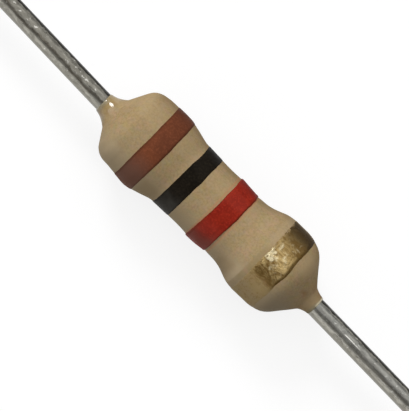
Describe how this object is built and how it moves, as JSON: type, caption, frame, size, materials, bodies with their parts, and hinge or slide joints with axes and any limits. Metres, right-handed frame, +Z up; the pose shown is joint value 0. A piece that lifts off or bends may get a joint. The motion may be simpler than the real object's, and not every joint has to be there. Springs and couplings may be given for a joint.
{
  "type": "axial resistor",
  "caption": "Axial carbon film resistor with a dog-bone tan coating, brown, black, red and gold colour bands and long straight tinned leads, lying flat.",
  "frame": {"origin": "on the surface that the part lies on, under the middle of the body", "axes": "+X along the body towards the gold tolerance band, +Y across the body in the plane of the surface, +Z up"},
  "size_m": [0.0636, 0.0025, 0.0024],
  "materials": {
    "ceramic": "unglazed",
    "carbon": "dark grey deposited film",
    "cap_metal": "tinned",
    "lead_metal": "tinned, satin",
    "coating": "satin lacquer",
    "brown_paint": "satin paint",
    "black_paint": "satin paint",
    "red_paint": "satin paint",
    "gold_paint": "metallic flake paint"
  },
  "bodies": {
    "root": {"ceramic_core": "ceramic", "carbon_film": "carbon", "end_cap_left": "cap_metal", "end_cap_right": "cap_metal", "lead_left": "lead_metal", "lead_right": "lead_metal", "coating": "coating", "brown_band": "brown_paint", "black_band": "black_paint", "red_band": "red_paint", "gold_band": "gold_paint"}
  },
  "joints": []
}
